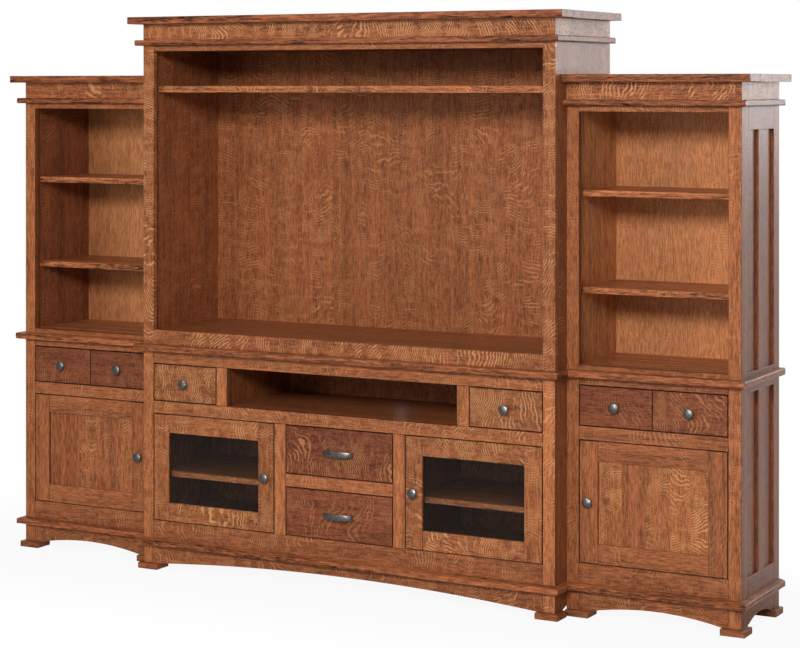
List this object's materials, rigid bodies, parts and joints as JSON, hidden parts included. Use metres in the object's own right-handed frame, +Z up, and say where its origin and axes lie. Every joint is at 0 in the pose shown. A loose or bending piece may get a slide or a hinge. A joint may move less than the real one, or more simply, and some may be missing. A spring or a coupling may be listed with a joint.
{
  "type": "entertainment center",
  "caption": "Oak entertainment wall: console with glass doors and drawers, open television hutch above it and a set-back bookcase pier on each side, with cornices, arched aprons and block feet.",
  "frame": {"origin": "on the floor, under the middle of the overall bounding box", "axes": "+X to the viewer's right, -Y out of the front, +Z up"},
  "size_m": [3.049, 0.518, 2.0745],
  "materials": {
    "frame_oak": "quartersawn white oak, reddish brown stain, satin lacquer",
    "case_oak": "oak boards, reddish brown stain, satin lacquer",
    "front_oak": "figured quartersawn oak with pale ray flecks, satin lacquer",
    "moulding_oak": "straight-grained oak, reddish brown stain, satin lacquer",
    "back_oak": "oak veneered panel, stained, low sheen",
    "drawer_wood": "clear finished maple",
    "pewter": "cast metal with an antique pewter finish",
    "pin_steel": "bright turned steel",
    "door_glass": "clear float glass"
  },
  "bodies": {
    "cabinet": {"console_face_frame": "frame_oak", "console_case": "case_oak", "console_top": "moulding_oak", "console_back": "back_oak", "console_base_moulding": "moulding_oak", "hutch_face_frame": "frame_oak", "hutch_case": "case_oak", "hutch_back": "back_oak", "hutch_cornice": "moulding_oak", "left_pier_case": "frame_oak", "left_pier_shelf": "case_oak", "left_pier_waist_moulding": "moulding_oak", "left_pier_base_moulding": "moulding_oak", "left_pier_cornice": "moulding_oak", "right_pier_case": "frame_oak", "right_pier_shelf": "case_oak", "right_pier_waist_moulding": "moulding_oak", "right_pier_base_moulding": "moulding_oak", "right_pier_cornice": "moulding_oak", "left_glass_door_lower_pin": "pin_steel", "left_glass_door_upper_pin": "pin_steel", "right_glass_door_lower_pin": "pin_steel", "right_glass_door_upper_pin": "pin_steel", "left_pier_door_lower_pin": "pin_steel", "left_pier_door_upper_pin": "pin_steel", "right_pier_door_lower_pin": "pin_steel", "right_pier_door_upper_pin": "pin_steel"},
    "small_drawer_left": {"small_drawer_left_front": "front_oak", "small_drawer_left_box": "drawer_wood", "small_drawer_left_knob": "pewter"},
    "small_drawer_right": {"small_drawer_right_front": "front_oak", "small_drawer_right_box": "drawer_wood", "small_drawer_right_knob": "pewter"},
    "centre_drawer_upper": {"centre_drawer_upper_front": "front_oak", "centre_drawer_upper_box": "drawer_wood", "centre_drawer_upper_pull": "pewter"},
    "centre_drawer_lower": {"centre_drawer_lower_front": "front_oak", "centre_drawer_lower_box": "drawer_wood", "centre_drawer_lower_pull": "pewter"},
    "left_pier_drawer": {"left_pier_drawer_front": "front_oak", "left_pier_drawer_box": "drawer_wood", "left_pier_drawer_left_knob": "pewter", "left_pier_drawer_right_knob": "pewter"},
    "right_pier_drawer": {"right_pier_drawer_front": "front_oak", "right_pier_drawer_box": "drawer_wood", "right_pier_drawer_left_knob": "pewter", "right_pier_drawer_right_knob": "pewter"},
    "left_glass_door": {"left_glass_door_frame": "front_oak", "left_glass_door_pane": "door_glass", "left_glass_door_knob": "pewter"},
    "right_glass_door": {"right_glass_door_frame": "front_oak", "right_glass_door_pane": "door_glass", "right_glass_door_knob": "pewter"},
    "left_pier_door": {"left_pier_door_frame": "frame_oak", "left_pier_door_panel": "front_oak", "left_pier_door_knob": "pewter"},
    "right_pier_door": {"right_pier_door_frame": "frame_oak", "right_pier_door_panel": "front_oak", "right_pier_door_knob": "pewter"}
  },
  "joints": [
    {"name": "small_drawer_left_slide", "type": "slide", "parent": "cabinet", "child": "small_drawer_left", "axis": [0, -1, 0], "range_m": [0, 0.3]},
    {"name": "small_drawer_right_slide", "type": "slide", "parent": "cabinet", "child": "small_drawer_right", "axis": [0, -1, 0], "range_m": [0, 0.3]},
    {"name": "centre_drawer_upper_slide", "type": "slide", "parent": "cabinet", "child": "centre_drawer_upper", "axis": [0, -1, 0], "range_m": [0, 0.3]},
    {"name": "centre_drawer_lower_slide", "type": "slide", "parent": "cabinet", "child": "centre_drawer_lower", "axis": [0, -1, 0], "range_m": [0, 0.3]},
    {"name": "left_pier_drawer_slide", "type": "slide", "parent": "cabinet", "child": "left_pier_drawer", "axis": [0, -1, 0], "range_m": [0, 0.24]},
    {"name": "right_pier_drawer_slide", "type": "slide", "parent": "cabinet", "child": "right_pier_drawer", "axis": [0, -1, 0], "range_m": [0, 0.24]},
    {"name": "left_glass_door_hinge", "type": "hinge", "parent": "cabinet", "child": "left_glass_door", "pos_m": [-0.7965, -0.211, 0.3855], "axis": [0, 0, -1], "range_deg": [0, 110]},
    {"name": "right_glass_door_hinge", "type": "hinge", "parent": "cabinet", "child": "right_glass_door", "pos_m": [0.7965, -0.211, 0.3855], "axis": [0, 0, 1], "range_deg": [0, 110]},
    {"name": "left_pier_door_hinge", "type": "hinge", "parent": "cabinet", "child": "left_pier_door", "pos_m": [-1.427, -0.119, 0.3955], "axis": [0, 0, -1], "range_deg": [0, 110]},
    {"name": "right_pier_door_hinge", "type": "hinge", "parent": "cabinet", "child": "right_pier_door", "pos_m": [1.427, -0.119, 0.3955], "axis": [0, 0, 1], "range_deg": [0, 110]}
  ]
}
